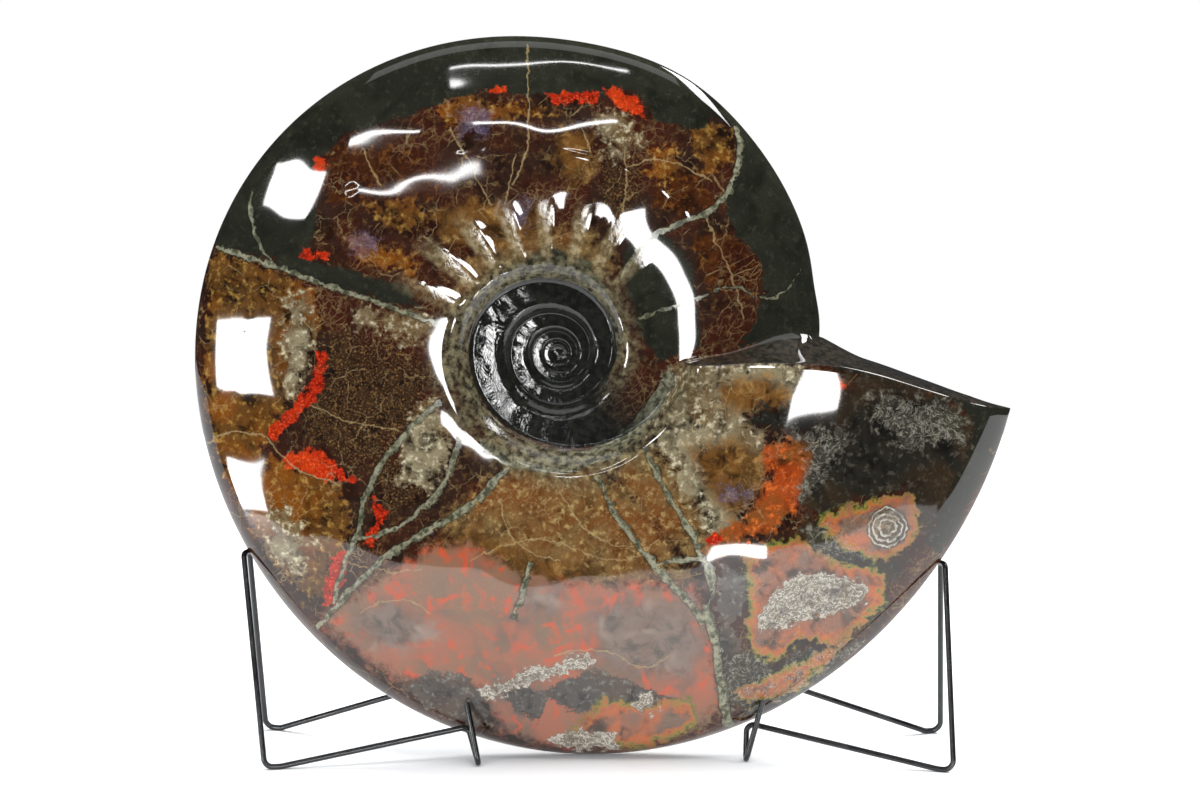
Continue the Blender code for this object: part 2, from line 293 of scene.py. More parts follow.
AGEING = (250 * DEGREE, APERTURE)
SECTION_SUMS = [
    ("seam", EASE, "angle", *AGEING, SEAM, MOUTH_SEAM),
    ("wall", EASE, "angle", *AGEING, WALL, MOUTH_WALL),
    ("shoulder", PLUS, "seam", "wall"),
    ("band", EASE, "angle", 290 * DEGREE, 335 * DEGREE, 1.0 - BAND, 1.0 - MOUTH_BAND),
    ("next angle", PLUS, "angle", math.tau),
    ("cover", EASE, "next angle", *AGEING, SEAM * TURN_GROWTH, MOUTH_SEAM * TURN_GROWTH),
    ("flank end", PLUS, "Wall rows", "Flank rows"),
    ("band end", PLUS, "flank end", "Band rows"),
    ("share", LINE, "row", 0.0, "Wall rows", "seam", "cover"),
    ("flank width", MINUS, "band", "cover"),
    ("on flank", LINE, "row", "Wall rows", "flank end", 0.0, "flank width"),
    ("share", PLUS, "share", "on flank"),
    ("band width", MINUS, 1.0, "band"),
    ("to keel", POWER, (LINE, "row", "flank end", "band end", 1.0, 0.0), 2.0),
    ("on band", LINE, "to keel", 1.0, 0.0, 0.0, "band width"),
    ("share", PLUS, "share", "on band"),
    ("out", POWER, (LINE, "share", "shoulder", "band", 0.0, 1.0), FLANK_CURVE),
    ("flank", LINE, "out", 0.0, 1.0, 1.0, BAND_HEIGHT),
    ("bevel", POWER, (MINUS, 1.0, (POWER, (LINE, "share", "band", 1.0, 0.0, 1.0), 1.25)), 0.75),
    ("flank", TIMES, "flank", "bevel"),
    ("foot place", TIMES, "seam", TURN_GROWTH),
    ("foot", POWER, (LINE, "foot place", SEAM + WALL, 1.0 - BAND, 0.0, 1.0), FLANK_CURVE),
    ("foot", LINE, "foot", 0.0, 1.0, 1.0 / TURN_GROWTH, BAND_HEIGHT / TURN_GROWTH),
    ("climb", LINE, "share", "seam", "shoulder", 1.0, 0.0),
    ("steep", TIMES, (POWER, (LINE, "climb", STEEP_FROM, 1.0, 0.0, 1.0), 2.0), STEEP_SHARE),
    ("climb", TIMES_PLUS, (POWER, "climb", 1.3), 1.0 - STEEP_SHARE, "steep"),
    ("height", TIMES, (LINE, "climb", 0.0, 1.0, "flank", "foot"), "Half thickness"),
]

RIB_SUMS = [
    *stretch("rib", "share", *RIBS_ACROSS, "Rib height"),
    *stretch("strength", "angle", *RIBS_ALONG, RIB_STRENGTH),
    ("uneven", LINE, (COSINE, (TIMES, "angle", 9.7)), -1.0, 1.0, 0.6, 1.3),
    ("young", EASE, "angle", -14 * DEGREE, 0.0, 0.045, 0.005),
    ("strength", TIMES_PLUS, "strength", "uneven", "young"),
    ("rib", TIMES, "rib", "strength"),
    ("lost", EASE, "angle", 290 * DEGREE, 340 * DEGREE, 1.0, 0.0),
    ("rib", TIMES, (TIMES, "rib", "lost"), rib_wave("Rib spacing")),
    ("depth", TIMES, (PLUS, "height", "rib"), "keel"),
    ("radius", TIMES, "share", "keel"),
]

FORWARD, BACKWARD = 3.4 * DEGREE, 5.1 * DEGREE   # lead of the edge inside and outside
# Hollow curve where the end face meets the older turn: height in metres, place and half width
FILLET, FILLET_MIDDLE, FILLET_WIDTH = 0.0125, 0.52, 0.105


def edge_sums(name, place):
    """Angle by which the aperture's edge runs ahead, at a place across the section."""
    return [
        ("inner", POWER, (LINE, place, MOUTH_SEAM, 0.5, 1.0, 0.0), 2.0),
        (name, LINE, "inner", 0.0, 1.0, FORWARD, 0.0),
        ("outer", EASE, place, 0.55, 0.96, 0.0, BACKWARD),
        (name, MINUS, name, "outer"),
    ]


APERTURE_SUMS = [
    *edge_sums("edge", "share"),
    ("near", EASE, "angle", APERTURE - 30 * DEGREE, APERTURE, 0.0, 1.0),
    ("edge", TIMES, "edge", "near"),
    ("turn", PLUS, "angle", "edge"),
    ("place", OVER, "share", TURN_GROWTH),
    *edge_sums("start", "place"),
    *bell("hump", "place", FILLET_MIDDLE, FILLET_WIDTH, FILLET),
    *stretch("lip", "place", MOUTH_SEAM, MOUTH_SEAM + LIP_ROUND, *LIP_END, MOUTH_LIP),
    ("hump", OVER, (PLUS, "hump", "lip"), "radius"),
    ("start", PLUS, "start", "hump"),
    ("away", EASE, "angle", OLDER_END, OLDER_END + 32 * DEGREE, 1.0, 0.0),
    ("start", TIMES, "start", "away"),
    ("beyond", ABOVE, "on flank", 0.0),
    ("turn", TIMES_PLUS, "start", "beyond", "turn"),
]

PLACE_SUMS = [
    *bell("pull", "radius", 0.0, NUCLEUS_REACH, 1.0),
    ("x", TIMES_PLUS, "pull", NUCLEUS_DRIFT[0], (TIMES, (COSINE, "turn"), "radius")),
    ("z", TIMES_PLUS, "pull", NUCLEUS_DRIFT[1], (TIMES_PLUS, (SINE, "turn"), "radius", "Coil height")),
    ("y", TIMES, "depth", -1.0),
]

work_through(coil_tree, SPIRAL_SUMS + SECTION_SUMS + RIB_SUMS + APERTURE_SUMS + PLACE_SUMS, coil)

grid = add(coil_tree, "GeometryNodeMeshGrid", 1.0, 1.0, coil["Columns"], coil["Rows"])
place = add(coil_tree, "ShaderNodeCombineXYZ", coil["x"], coil["y"], coil["z"])
shape = add(coil_tree, "GeometryNodeSetPosition", grid, None, place)
for attribute in ("share", "angle"):
    shape = add(coil_tree, "GeometryNodeStoreNamedAttribute", shape, None, attribute, coil[attribute])
shape = add(coil_tree, "GeometryNodeRealizeInstances", shape)
shape = add(coil_tree, "GeometryNodeSetMaterial", shape, None, coil["Material"])
add(coil_tree, "NodeGroupOutput", shape)
print("coil tree:", len(coil_tree.nodes), "nodes")

# %% [markdown]
# One tree makes both parts of the coil. Of the older turns only the wall shows, so their grid
# has the rows of the wall alone, and the last turn has the rows of the flank and the keel too.

# %% Older turns and last turn
shell_material = bpy.data.materials.new("polished_fossil_shell")
COIL_SIZES = {
    "Wall rows": WALL_ROWS, "Flank rows": FLANK_ROWS, "Band rows": BAND_ROWS, "Step": STEP,
    "Keel radius": KEEL_RADIUS, "Growth a turn": TURN_GROWTH, "Half thickness": HALF_THICKNESS,
    "Coil height": COIL_HEIGHT, "Rib height": RIB_HEIGHT, "Rib spacing": RIB_SPACING,
    "Material": shell_material,
}
ROWS = WALL_ROWS + FLANK_ROWS + BAND_ROWS + 1
older_turns = shape_from(coil_tree, bpy.data.meshes.new("older"), COIL_SIZES | {
    "Columns": OLDER_TURNS * COLUMNS_A_TURN + 1, "Rows": WALL_ROWS + 1,
    "End angle": OLDER_END,
})
last_turn = shape_from(coil_tree, bpy.data.meshes.new("last"), COIL_SIZES | {
    "Columns": COLUMNS_A_TURN + 1, "Rows": ROWS, "End angle": APERTURE,
})
print("older turns:", len(older_turns.vertices), "points; last turn:", len(last_turn.vertices))

# %% [markdown]
# The two grids become one skin: each turn's inner edge is welded to the turn that it grew over.
# The end of the last turn was cut and polished with the rest, so a face closes it. It meets the
# older turn in a hollow curve and has a rounded lip. These lines of points are few and follow
# the edges that are already there, so bmesh lays them by hand.

# %% Closing the skin
# Lines of points over the end face, as shares of the way from its edge to its middle
LIP_LINES = (0.012, 0.04, 0.085, 0.15, 0.24, 0.36, 0.52, 0.75)
MIDDLE_POINTS = 38              # along the middle of the end face


def stitch(mesh, line, other):
    """Fill the strip between two lines of vertices with triangles, shortest links first."""
    i = j = 0
    while i < len(line) - 1 or j < len(other) - 1:
        link_i = (line[i + 1].co - other[j].co).length if i < len(line) - 1 else math.inf
        link_j = (other[j + 1].co - line[i].co).length if j < len(other) - 1 else math.inf
        if link_i <= link_j:
            corners = (line[i], line[i + 1], other[j])
            i += 1
        else:
            corners = (line[i], other[j + 1], other[j])
            j += 1
        if len(set(corners)) == 3:
            mesh.faces.new(corners)


def mouth_climb(share, across):
    """How far the end face stands out, at a place from its edge (0) to its middle (1)."""
    fillet = FILLET * math.exp(-((share - FILLET_MIDDLE) / FILLET_WIDTH) ** 2) * across ** 1.5
    lip = ease(MOUTH_SEAM, MOUTH_SEAM + LIP_ROUND, share) * (1.0 - ease(*LIP_END, share))
    return fillet + MOUTH_LIP * lip * math.sqrt(across * (2.0 - across))


skin = bmesh.new()
skin.from_mesh(older_turns)
skin.from_mesh(last_turn)
mouth_of = skin.verts.layers.float.new("mouth")
share_of = skin.verts.layers.float["share"]
angle_of = skin.verts.layers.float["angle"]
skin.verts.ensure_lookup_table()
older_count = len(older_turns.vertices)
older = [list(skin.verts[start:start + WALL_ROWS + 1])
         for start in range(0, older_count, WALL_ROWS + 1)]
last = [list(skin.verts[start:start + ROWS])
        for start in range(older_count, len(skin.verts), ROWS)]
# The last turn goes on where the older turns end, and the edge of every column inside is the
# top of the wall one turn before it
targets = dict(zip(older[-1], last[0]))
columns = older[:-1] + last
for number in range(COLUMNS_A_TURN, len(columns)):
    under = columns[number - COLUMNS_A_TURN][WALL_ROWS]
    targets[columns[number][0]] = under
    if number == len(older) - 1:
        targets[older[-1][0]] = under
    columns[number][0] = under
bmesh.ops.weld_verts(skin, targetmap=targets)

# The end face runs from the aperture's edge to the older turn's flank that it meets
centre = Vector((0.0, COIL_HEIGHT))
edge, start_line = columns[-1], columns[-1 - COLUMNS_A_TURN][WALL_ROWS:]
older_shares = [vertex[share_of] / TURN_GROWTH for vertex in start_line]
older_depths = [-vertex.co.y for vertex in start_line]
older_shares[0], edge_shares = MOUTH_SEAM, [MOUTH_SEAM] + [vertex[share_of] for vertex in edge[1:]]
polar = [Vector((vertex.co.x, vertex.co.z)) - centre for vertex in edge]
radii = [place.length for place in polar]
turns = [math.atan2(place.y, place.x) for place in polar]


def end_point(share, across, depth):
    """New vertex on the end face."""
    radius = np.interp(share, edge_shares, radii)
    turn = np.interp(share, edge_shares, turns) + mouth_climb(share, across) / radius
    made = skin.verts.new((centre.x + radius * math.cos(turn), -depth,
                           centre.y + radius * math.sin(turn)))
    made[share_of], made[angle_of], made[mouth_of] = share, APERTURE, 1.0
    return made


inner = [np.interp(share, older_shares, older_depths, right=0.0) for share in edge_shares]
lines = [edge]
for across in LIP_LINES:
    lines.append([edge[0]] + [
        end_point(edge_shares[i], across, blend(-edge[i].co.y, inner[i], across))
        for i in range(1, len(edge) - 1)
    ] + [edge[-1]])
middle_shares = np.linspace(1.0, 1.0 / TURN_GROWTH, MIDDLE_POINTS + 2)[1:-1]
middle = [edge[-1]] + [end_point(share, 1.0, 0.0) for share in middle_shares]
lines.append(start_line + middle[::-1])
for line, following in zip(lines, lines[1:]):
    stitch(skin, line, following)

# The first turn is closed in the middle
nucleus = [column[0] for column in columns[:COLUMNS_A_TURN]] + columns[0][WALL_ROWS::-1]
core = skin.verts.new(sum((vertex.co for vertex in nucleus), Vector()) / len(nucleus))
core[share_of] = SEAM
core[angle_of] = nucleus[0][angle_of]
stitch(skin, nucleus, [core])
print("skin of the front half:", len(skin.verts), "points,", len(skin.faces), "faces")

# %% [markdown]
# Polishing by hand leaves the flank a little uneven. It can't be felt, but it bends every
# reflection. Smooth noise moves the points by a few tenths of a millimetre along their normals.

# %% Mirrored, polished uneven, leaned back and set where the model has it
WAVE_LENGTH, WAVE_HEIGHT, RIPPLE_SHARE = 0.050, 0.0007, 0.3
ON_PLANE = 0.0001               # points nearer than this to the plane y = 0 stay where they are
CALMER = (0.84, 0.94)           # radii over which the unevenness ends towards the keel
bmesh.ops.mirror(skin, geom=skin.verts[:] + skin.edges[:] + skin.faces[:],
                 matrix=Matrix.Identity(4), axis="Y", merge_dist=0.00002)
bmesh.ops.recalc_face_normals(skin, faces=skin.faces)
bmesh.ops.rotate(skin, verts=skin.verts, cent=Vector(), matrix=Matrix.Rotation(-LEAN, 3, "X"))
skin.normal_update()
for vertex in skin.verts:
    if abs(vertex.co.y) > ON_PLANE:
        off_keel = 1.0 - float(ease(*CALMER, vertex[share_of]))
        wave = noise.noise(vertex.co / WAVE_LENGTH)
        wave += RIPPLE_SHARE * noise.noise(vertex.co / WAVE_LENGTH * 2.0)
        vertex.co += vertex.normal * (WAVE_HEIGHT * off_keel * wave)
points = np.array([vertex.co for vertex in skin.verts])
low, high = Vector(points.min(0)), Vector(points.max(0))
shift = (SHELL_LOW + SHELL_HIGH) / 2 - (low + high) / 2
shift.z = SHELL_LOW.z - low.z
bmesh.ops.translate(skin, verts=skin.verts, vec=shift)
open_edges = sum(not e.is_manifold for e in skin.edges)
shell_mesh = bpy.data.meshes.new("ammonite_shell")
skin.to_mesh(shell_mesh)
skin.free()
shell_mesh.materials.clear()
shell_mesh.materials.append(shell_material)
shell_mesh.shade_smooth()
shell = new_object("ammonite_shell", shell_mesh)
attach(shell, "root")
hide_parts("ammonite")
shell_mesh.calc_loop_triangles()
print("shell:", len(shell_mesh.loop_triangles), "triangles, open edges:", open_edges)

# %% [markdown]
# Each half of the stand is one steel wire, bent cold and painted black. A wire follows a path,
# so its path is a line with sharp corners, and the tree rounds each corner to its bend and
# sweeps a circle along it. The ends are cut off square.

# %% Wires
WIRE = 0.0032
FLAT_DOWN = WIRE / 2 * math.cos(math.pi / 8)    # the solid's wire has 8 sides and lies on one
DEPTH_SHIFT = 0.000415
POINTS_A_BEND, POINTS_ROUND = 10, 24
# The stands of the model: bends, and the level stretch inwards from each outer foot
PRONG_BEND, ELBOW_BEND, FOOT_BEND, APEX_BEND = 0.0032, 0.0040, 0.0050, 0.0032
FOOT_LENGTH = 0.0090
CORNERS = {     # corners of each wire from its front end to its rear end, with their bends
    "prong tip": 0.0, "prong foot": PRONG_BEND, "riser foot": PRONG_BEND,
    "front elbow": ELBOW_BEND, "front foot": FOOT_BEND, "front of the apex": APEX_BEND,
    "back of the apex": APEX_BEND, "rear foot": FOOT_BEND, "rear elbow": ELBOW_BEND, "rear tip": 0.0,
}
STANDS = {      # places of the corners in metres
    "stand_left": (
        (-0.0758, -0.0261, 0.0342), (-0.0692, -0.0365, WIRE / 2), (-0.0698, -0.0298, WIRE / 2),
        (-0.0755, -0.0196, 0.0188), (-0.1878, -0.0418, FLAT_DOWN), (-0.2005, -0.0048, 0.1147),
        (-0.1977, 0.0014, 0.1147), (-0.1929, 0.0467, FLAT_DOWN), (-0.0745, 0.0109, 0.0420),
        (-0.0760, 0.0178, 0.0620),
    ),
    "stand_right": (
        (0.0892, -0.0230, 0.0348), (0.0799, -0.0265, WIRE / 2), (0.0799, -0.0201, WIRE / 2),
        (0.0804, -0.0128, 0.0193), (0.1942, -0.0481, FLAT_DOWN), (0.1910, -0.0050, 0.1083),
        (0.1888, 0.0012, 0.1083), (0.1926, 0.0395, FLAT_DOWN), (0.0825, 0.0087, 0.0430),
        (0.0840, 0.0147, 0.0612),
    ),
}

wire_tree, wire = new_shape_tree("bent_wire", {
    "Diameter": "Float", "Points a bend": "Int", "Points round": "Int", "Material": "Material",
})
bend = add(wire_tree, "GeometryNodeInputRadius")
route = add(wire_tree, "GeometryNodeFilletCurve", wire["Geometry"], wire["Points a bend"], bend,
            mode="POLY")
route = add(wire_tree, "GeometryNodeSetCurveRadius", route, None, 1.0)
half = add(wire_tree, "ShaderNodeMath", wire["Diameter"], 0.5, operation="MULTIPLY")
circle = add(wire_tree, "GeometryNodeCurvePrimitiveCircle", wire["Points round"])
wire_tree.links.new(half.outputs[0], circle.inputs["Radius"])
swept = add(wire_tree, "GeometryNodeCurveToMesh", route, circle)
swept.inputs["Fill Caps"].default_value = True
swept = add(wire_tree, "GeometryNodeRealizeInstances", swept)
swept = add(wire_tree, "GeometryNodeSetMaterial", swept, None, wire["Material"])
add(wire_tree, "NodeGroupOutput", swept)

wire_material = bpy.data.materials.new("black_painted_steel_wire")


def with_level_feet(stand):
    """Corners of a wire, with the inner end of the level stretch added at each outer foot."""
    places = dict(zip(CORNERS, map(Vector, stand)))
    corners = []
    for name, bend_radius in CORNERS.items():
        corner = [(places[name], bend_radius)]
        if name in ("front foot", "rear foot"):
            inward = places[name.replace("foot", "elbow")] - places[name]
            inward.z = 0.0
            level_end = (places[name] + inward.normalized() * FOOT_LENGTH, FOOT_BEND)
            corner.insert(0 if name == "front foot" else 1, level_end)
        corners += corner
    return corners


for name, stand in STANDS.items():
    corners = with_level_feet(stand)
    path = bpy.data.curves.new(name + "_path", "CURVE")
    path.dimensions = "3D"
    spline = path.splines.new("POLY")
    spline.points.add(len(corners) - 1)
    for point, (place, bend_radius) in zip(spline.points, corners):
        point.co = (place.x, place.y + DEPTH_SHIFT, place.z, 1.0)
        point.radius = bend_radius
    wire_mesh = shape_from(wire_tree, path, {
        "Diameter": WIRE, "Points a bend": POINTS_A_BEND, "Points round": POINTS_ROUND,
        "Material": wire_material,
    })
    wire_mesh.shade_smooth()
    wire_mesh.set_sharp_from_angle(angle=50 * DEGREE)
    wire_piece = new_object(name + "_wire", wire_mesh)
    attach(wire_piece, "root")
    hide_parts(name)
    print(name, len(wire_mesh.polygons), "faces")

# %% [markdown]
# The markings are read from the photograph as outlines and lines, each with a few points in
# its pixels, and are drawn by the material, because the polish has made them all one surface.
# Every point of the shell gets its place on a flat drawing of the shell, in millimetres, and its
# distance to the edge of each kind of patch, as attributes that the material reads.
# The far side of the real shell isn't in the photograph. Its drawing is the same at the keel and
# turns more and more towards the coil's centre, so the far side has a layout of its own.

# %% Drawing of the markings: places
PIXELS_PER_MM = PIXELS_PER_METRE * MM
FAR_SIDE_TURN = 38 * DEGREE


def pixel_points(run):
    """Points of a run such as "225,250 262,256"."""
    return [[float(number) for number in point.split(",")] for point in run.split()]


def drawing_place(pixels):
    """Millimetres from the middle of the drawing, for points in pixels of the photograph."""
    pixels = np.array(pixels, float)
    return (pixels - np.array(AIM_PIXEL)) * (1, -1) / PIXELS_PER_MM


def seen_from_camera(points):
    """Places in the drawing of points in metres, as the camera sees them."""
    away = points - np.array(camera.location)
    right, up, ahead = np.array(camera.rotation_euler.to_matrix()).T * [[1], [1], [-1]]
    return np.stack([away @ right, away @ up], 1) / (away @ ahead)[:, None] * CAMERA_AWAY / MM


points = np.zeros(len(shell_mesh.vertices) * 3, np.float32)
shell_mesh.vertices.foreach_get("co", points)
points = points.reshape(-1, 3).astype(float)
share = np.zeros(len(points), np.float32)
shell_mesh.attributes["share"].data.foreach_get("value", share)
lean_back = Matrix.Rotation(-LEAN, 3, "X")
depth_axis = np.array(lean_back @ Vector((0, 1, 0)))
origin = np.array(shift)
# A point of the far side takes the place of its mirror image on the front
off_plane = (points - origin) @ depth_axis
mirrored = points - np.outer(off_plane + np.abs(off_plane), depth_axis)
drawing = seen_from_camera(mirrored)
coil_centre = np.array(lean_back @ Vector((0, 0, COIL_HEIGHT)) + shift)
coil_middle = seen_from_camera(coil_centre[None])[0]
swirl = FAR_SIDE_TURN * (1 - ease(0.72, 1.0, share)) * (off_plane > 0)
out = drawing - coil_middle
drawing = coil_middle + np.stack([
    out[:, 0] * np.cos(swirl) - out[:, 1] * np.sin(swirl),
    out[:, 0] * np.sin(swirl) + out[:, 1] * np.cos(swirl),
], 1)
layer = shell_mesh.attributes.new("drawing", "FLOAT_VECTOR", "POINT")
flat = np.hstack([drawing, np.zeros((len(drawing), 1))])
layer.data.foreach_set("vector", flat.astype(np.float32).ravel())
print("coil centre in the drawing, mm:", coil_middle.round(1))

# %% [markdown]
# An outline runs round each patch. The distance to it is positive inside and negative outside,
# so the material can make the edge sharp, soft or ragged, and can draw bands along it.

# %% Drawing of the markings: patches
FAR_OUTSIDE = -60.0             # millimetres
PATCHES = {     # outlines, each a run of points x,y in pixels of the photograph
    "black": (
        "225,250 262,256 300,262 318,225 312,190 318,160 345,135 400,118 430,108 452,97 480,90 530,95 "
        "600,97 640,92 656,118 668,124 700,130 712,118 735,125 741,165 728,200 735,235 762,262 765,300 "
        "740,345 830,350 850,250 760,60 600,10 420,20 250,120 190,220",
        "268,262 300,258 345,268 400,285 425,303 400,306 350,290 300,275",
        "622,250 660,232 690,262 702,345 660,362 640,330 628,290",
        "905,365 1020,395 1010,420 960,520 940,555 925,540 950,480 970,430 960,410",
        "545,245 590,262 612,300 622,345 605,385 560,405 520,398 488,365 482,320 505,275",
    ),
    "mouth black": (
        "800,350 920,380 965,408 975,430 955,480 930,540 905,490 850,500 818,520 800,500 825,450 790,430 "
        "745,425 760,405 800,410 840,405 850,380",
        "800,520 840,515 880,560 905,565 885,590 840,566 808,556 795,540",
        "722,640 745,650 775,668 815,645 860,640 800,700 740,716 720,690",
    ),
    "sutured": (
        "868,392 960,405 966,442 905,446 872,425",
        "790,430 845,425 840,455 800,500 812,455",
        "722,650 745,655 775,672 815,650 860,645 800,695 740,712 722,690",
        "805,528 840,522 872,560 840,562 808,552",
    ),
    "russet": (
        "735,230 765,262 768,285 728,292 700,280 695,235",
        "655,165 700,172 712,205 680,215 655,205",
        "330,140 420,150 450,190 400,205 330,200 322,170",
    ),
    "speckled": (
        "600,150 642,146 640,190 624,220 602,212",
        "330,330 400,345 430,370 425,410 405,440 372,470 350,470 325,445 300,440 310,405 330,385",
        "375,470 420,445 440,470 420,500 390,515",
    ),
    "amber": (
        "212,250 262,268 312,290 322,330 300,380 285,410 262,440 245,500 225,480 208,420 205,320",
        "245,500 270,455 340,486 352,530 335,600 310,600 270,560",
        "368,205 395,200 420,205 430,222 408,232 385,226",
        "345,240 372,238 420,262 410,275 360,262",
        "690,122 712,125 735,132 730,160 712,178 694,150",
        "650,150 672,146 680,168 664,186 648,176",
        "430,110 460,98 500,102 540,104 560,112 500,120 450,128",
    ),
    "tan": (
        "440,520 500,475 590,462 640,500 672,548 690,580 600,586 520,576 470,552",
        "600,465 650,445 690,470 715,545 690,560 650,520",
        "452,300 470,258 520,232 590,232 615,262 600,285 550,262 495,275 470,320",
    ),
    "beige": (
        "676,366 760,362 815,372 800,405 745,415 765,440 760,480 735,530 715,545 690,500 655,440 660,400",
        "288,300 302,292 312,310 314,345 300,380 288,395 284,350",
        "262,500 290,510 310,540 300,575 270,550",
        "600,118 628,112 640,138 622,156 602,150",
        "440,330 415,345 360,322 350,312 420,312",
        "405,440 430,400 445,420 450,460 430,490 405,480",
    ),
    "honey": (
        "716,382 770,378 790,392 785,412 745,415 720,402",
        "690,450 730,440 765,455 760,490 735,520 705,490",
        "425,215 470,200 520,205 560,228 500,250 450,245",
        "560,130 590,128 592,170 570,190 555,160",
        "430,545 470,530 540,560 600,570 590,590 500,585",
    ),
    "ember": (
        "765,440 815,436 818,460 800,495 790,520 745,548 712,552 715,535 745,520 770,480",
    ),
    "red": (
        "317,350 326,352 323,385 304,411 276,440 267,434 296,404 312,380",
        "283,457 310,448 325,450 340,468 357,482 330,482 305,472 288,470",
        "372,495 385,512 381,530 372,548 362,546 375,520",
        "330,560 352,545 345,575 333,604 321,604",
        "315,158 325,158 326,170 317,172",
        "300,250 327,252 328,260 305,258",
        "485,87 505,86 507,94 492,93",
        "545,94 598,92 596,103 552,103",
        "604,88 622,88 640,102 646,120 632,116 612,102",
        "706,537 720,534 722,543 708,544",
        "218,372 236,374 232,384 220,383",
        "820,395 838,380 846,386 836,398 822,400",
    ),
    "salmon": (
        "322,622 365,588 430,548 470,545 520,575 600,586 692,584 712,640 722,700 700,728 650,748 560,750 "
        "500,728 482,692 410,682 380,668",
    ),
    "grey": (
        "398,686 430,672 470,675 484,700 492,728 440,715",
        "722,565 742,575 748,600 730,625 745,650 730,690 716,640",
        "500,690 530,685 545,700 540,725 515,712",
        "540,690 600,668 680,700 650,715 570,712",
    ),
    "haze": (
        "590,612 640,600 690,596 700,640 690,680 640,672 600,664",
        "350,610 400,600 440,636 400,652 360,640",
        "520,585 560,590 560,620 520,610",
    ),
    "banded": (
        "748,600 745,556 770,545 800,535 830,558 885,572 885,605 840,645 800,640 775,665 752,650 748,628",
        "812,518 850,505 912,492 920,518 910,548 876,562 842,548",
        "735,690 800,660 850,640 800,690 745,705",
        "600,700 690,700 700,728 650,748 590,748 560,735",
    ),
    "eye": (
        "865,527 871,512 886,505 902,510 910,524 906,541 890,550 873,545",
    ),
    "sheen": (
        "455,110 490,112 485,135 460,132",
        "505,205 530,200 525,225 508,222",
        "720,484 752,492 748,502 722,498",
        "350,240 380,232 378,250 352,254",
    ),
    "lace": (
        "756,624 775,590 800,574 840,574 869,588 866,600 840,612 800,622 768,634",
        "548,742 570,728 612,732 620,748 580,752",
        "480,690 520,672 560,664 590,652 594,662 560,675 520,688 490,700",
        "628,705 650,692 662,708 640,716",
    ),
}


def inside_by(place, outline):
    """Millimetres that each place lies inside an outline, negative outside it."""
    nearest = np.full(len(place), 1e9)
    inside = np.zeros(len(place), bool)
    for start, end in zip(outline, np.roll(outline, -1, axis=0)):
        along, off = end - start, place - start
        t = np.clip(off @ along / (along @ along), 0, 1)
        nearest = np.minimum(nearest, np.linalg.norm(off - t[:, None] * along, axis=1))
        crosses = (start[1] > place[:, 1]) != (end[1] > place[:, 1])
        rise = along[1] if along[1] else 1e-9
        inside ^= crosses & (place[:, 0] < start[0] + (place[:, 1] - start[1]) / rise * along[0])
    return np.where(inside, nearest, -nearest)


for name, outlines in PATCHES.items():
    depth_inside = np.full(len(drawing), FAR_OUTSIDE)
    for outline in outlines:
        depth_inside = np.maximum(depth_inside, inside_by(drawing, drawing_place(pixel_points(outline))))
    layer = shell_mesh.attributes.new(name, "FLOAT", "POINT")
    layer.data.foreach_set("value", depth_inside.astype(np.float32))
    covered = float((depth_inside > 0).mean())
    print(name, "patches:", len(outlines), "on", round(covered * 100), "% of the points")

# %% [markdown]
# The finish is polished aragonite and calcite: shell that has turned to stone, cut back and
# polished until it is like glass, about 5% reflective and nearly free of roughness. What the eye
# sees are clouds of colour inside it. Each kind of patch is a mix of four colours by noise of
# two grains and a slow tint, and its edge is made ragged by more noise.
# The mix is again a list of short sums, worked through in order.

# %% Polished fossil shell: clouds and patches
NOISE = ("ShaderNodeTexNoise", {})
MIX = ("ShaderNodeMix", {"data_type": "RGBA"})
SHADE = ("ShaderNodeMix", {"data_type": "RGBA", "blend_type": "MULTIPLY"})
EDGE_CELLS = ("ShaderNodeTexVoronoi", {"feature": "DISTANCE_TO_EDGE"})
SHIFTED = ("ShaderNodeVectorMath", {"operation": "ADD"})

shell_material.use_nodes = True
fossil = shell_material.node_tree
fossil.nodes.clear()
parts = {"place": add(fossil, "ShaderNodeTexCoord").outputs["Object"]}
for name in ("angle", "share", "mouth", *PATCHES):
    parts[name] = add(fossil, "ShaderNodeAttribute", attribute_name=name).outputs["Fac"]

CLOUD_ROWS = [
    ("cloud 1", NOISE, "place", 1 / (1.2 * MM), 3.0, 0.6),
    ("cloud 4", NOISE, "place", 1 / (3.5 * MM), 4.0, 0.6),
    ("cloud 9", NOISE, "place", 1 / (9 * MM), 5.0, 0.62, None, 0.6),
    ("cloud 26", NOISE, "place", 1 / (26 * MM), 5.0, 0.6, None, 1.2),
    ("cloud 11", NOISE, "place", 1 / (11 * MM), 2.0, 0.45, None, 1.2),
    ("cloud 18", NOISE, "place", 1 / (18 * MM), 1.5, 0.4, None, 0.8),
    ("cloud 40", NOISE, "place", 1 / (40 * MM), 4.0, 0.55, None, 0.8),
    ("ragged", TIMES_PLUS, "cloud 4", 12.0, (TIMES_PLUS, "cloud 9", 17.0, -15.3)),
    ("ragged", TIMES_PLUS, "cloud 1", 1.6, "ragged"),
]
